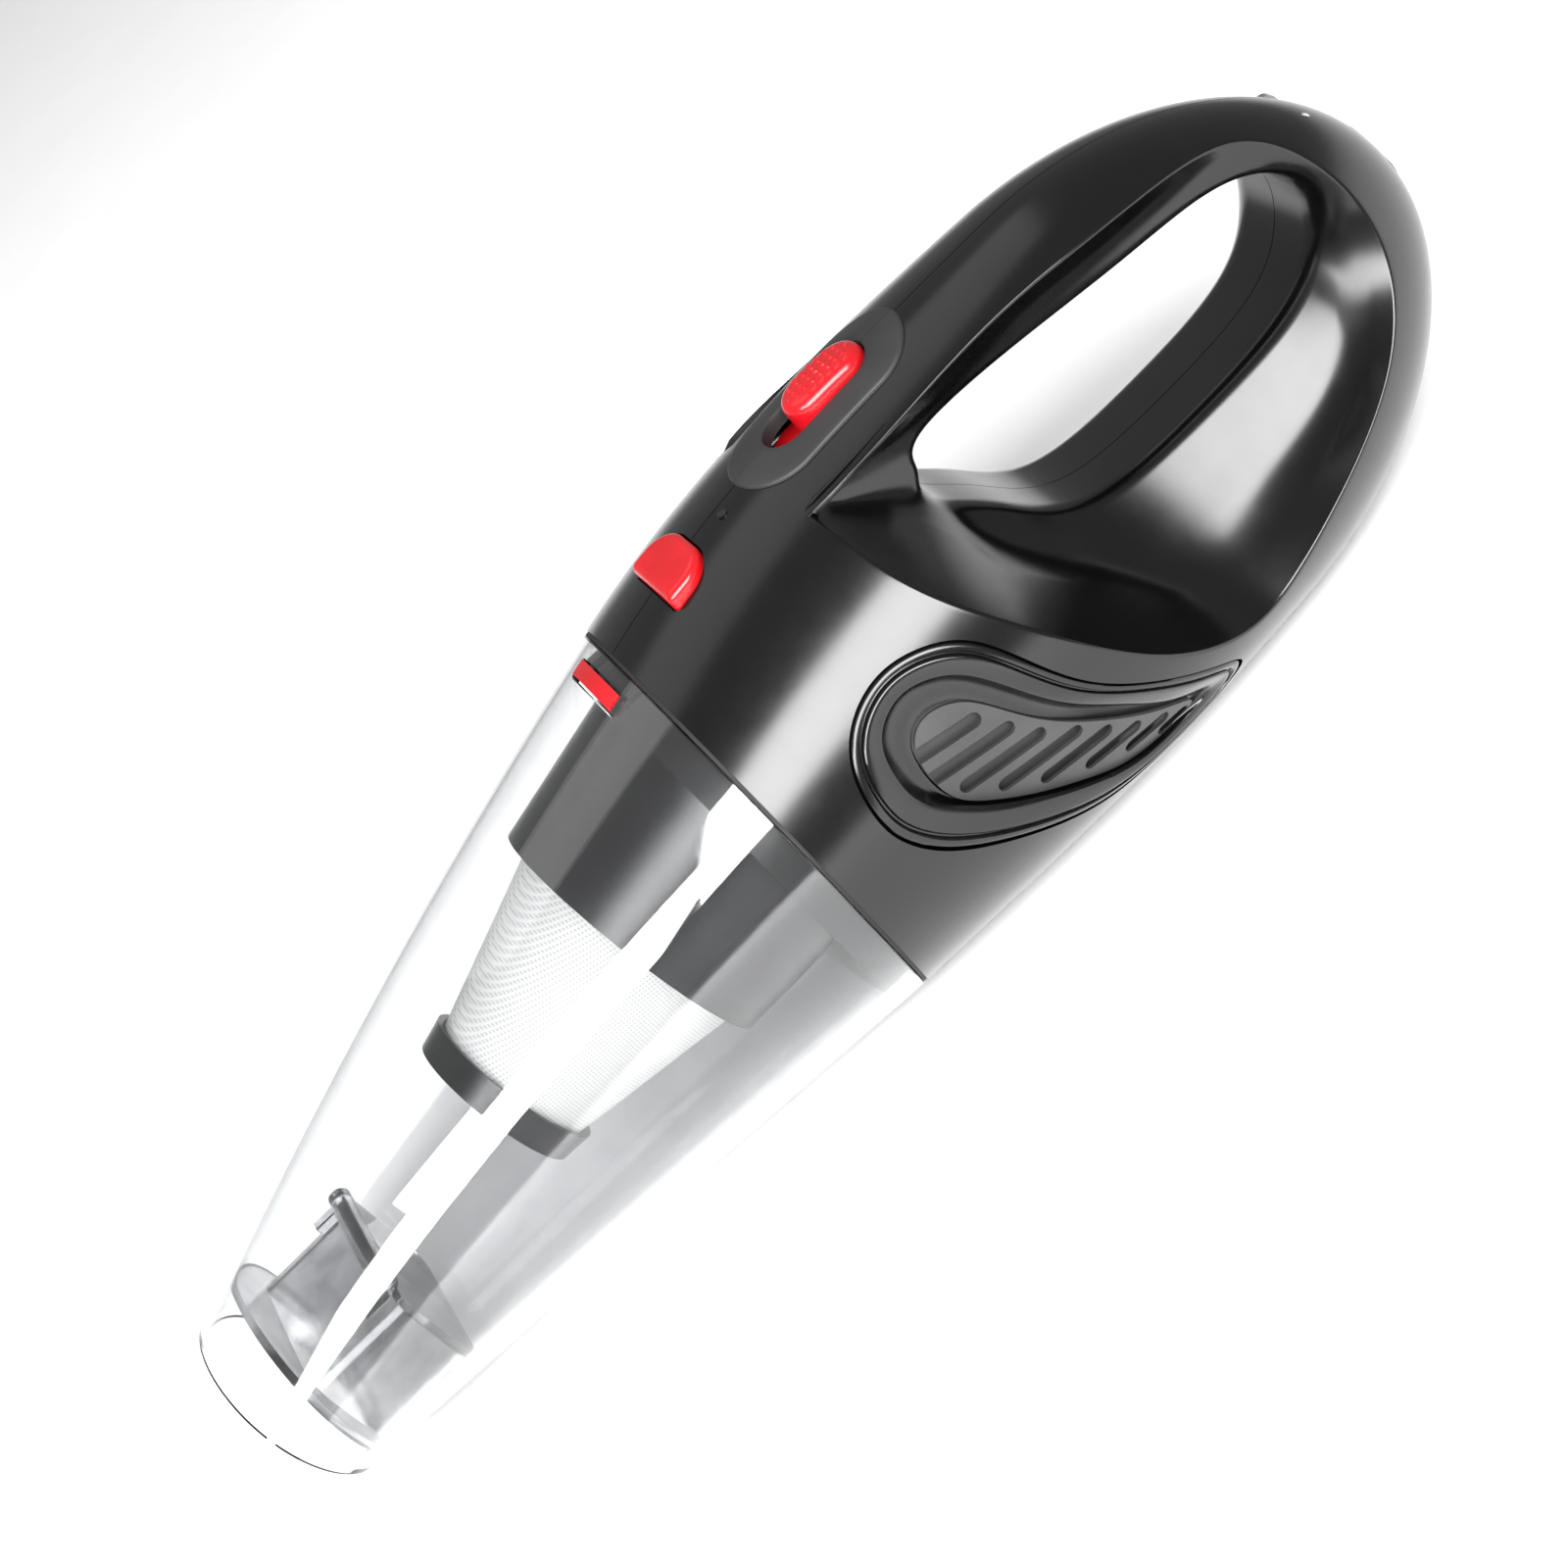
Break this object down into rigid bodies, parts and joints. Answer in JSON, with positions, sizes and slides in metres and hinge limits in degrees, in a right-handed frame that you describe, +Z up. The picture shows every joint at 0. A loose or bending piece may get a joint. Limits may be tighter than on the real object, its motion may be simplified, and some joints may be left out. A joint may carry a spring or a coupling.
{
  "type": "handheld vacuum",
  "caption": "Cordless handheld vacuum with a clear tapered dust cup, raked nozzle, cone filter, loop handle, sliding switch and release button.",
  "frame": {"origin": "middle of the footprint, on the plane it rests on", "axes": "+X from the nozzle to the tail, +Z up, +Y to the right-hand casing half"},
  "size_m": [0.3595, 0.1109, 0.1168],
  "materials": {
    "gloss_casing": "polished moulded ABS",
    "matte_black": "fine spark texture",
    "clear_cup": "clear moulded polycarbonate",
    "smoke_duct": "smoked translucent plastic",
    "rubber": "soft matte",
    "filter_black": "satin",
    "filter_mesh": "fine nylon mesh",
    "filter_cage": "natural",
    "red_plastic": "polished moulded ABS",
    "steel": "zinc plated",
    "motor_steel": "drawn steel",
    "nickel": "nickel strip",
    "copper": "enamelled windings",
    "impeller": "glass filled nylon",
    "cell_sleeve": "shrink sleeve",
    "board": "solder mask",
    "light_pipe": "clear",
    "lead_red": "PVC sleeve",
    "lead_black": "PVC sleeve"
  },
  "bodies": {
    "casing": {"left_casing": "gloss_casing", "right_casing": "gloss_casing", "casing_screws": "steel", "vent_grille_left": "matte_black", "vent_grille_right": "matte_black", "cup_seal": "rubber", "motor_bulkhead": "matte_black", "latch_spring": "steel", "slide_switch": "matte_black", "front_mount_ring": "rubber", "fan_housing": "matte_black", "fan_lid": "matte_black", "motor_can": "motor_steel", "motor_end_cap": "matte_black", "rear_mount_ring": "rubber", "battery_cells": "cell_sleeve", "battery_tray": "matte_black", "cell_straps": "nickel", "charge_socket": "matte_black", "charging_board": "board", "charge_light": "light_pipe", "switch_lead": "lead_black", "red_lead": "lead_red", "black_lead": "lead_black", "charge_lead": "lead_black"},
    "cup": {"dust_cup": "clear_cup", "intake_duct": "smoke_duct", "flap_pin": "steel"},
    "filter": {"filter_collar": "filter_black", "filter_mesh": "filter_mesh", "filter_cage": "filter_cage", "filter_end_ring": "filter_black", "filter_end_disc": "filter_mesh", "filter_gasket": "rubber"},
    "flap": {"intake_flap": "smoke_duct"},
    "latch": {"release_button": "red_plastic", "latch_arm": "red_plastic"},
    "slider": {"switch_slider": "red_plastic"},
    "rotor": {"impeller": "impeller", "motor_rotor": "copper", "motor_shaft": "steel"}
  },
  "joints": [
    {"name": "cup_pull", "type": "slide", "parent": "casing", "child": "cup", "axis": [-1, 0, 0], "range_m": [0, 0.1], "deforming": ["latch_arm"]},
    {"name": "filter_pull", "type": "slide", "parent": "casing", "child": "filter", "axis": [-0.989, 0, -0.1478], "range_m": [0, 0.009]},
    {"name": "flap_swing", "type": "hinge", "parent": "cup", "child": "flap", "pos_m": [-0.1376, 0, 0.0415], "axis": [0, -1, 0], "range_deg": [0, 60], "stiffness_Nm_per_rad": 0.002},
    {"name": "release_press", "type": "slide", "parent": "casing", "child": "latch", "axis": [0, 0, -1], "range_m": [0, 0.003], "stiffness_N_per_m": 900, "deforming": ["latch_spring"]},
    {"name": "switch_slide", "type": "slide", "parent": "casing", "child": "slider", "axis": [-1, 0, 0], "range_m": [0, 0.006]},
    {"name": "rotor_spin", "type": "hinge", "parent": "casing", "child": "rotor", "pos_m": [0.01775, 0, 0.0511], "axis": [1, 0, 0], "continuous": true}
  ]
}
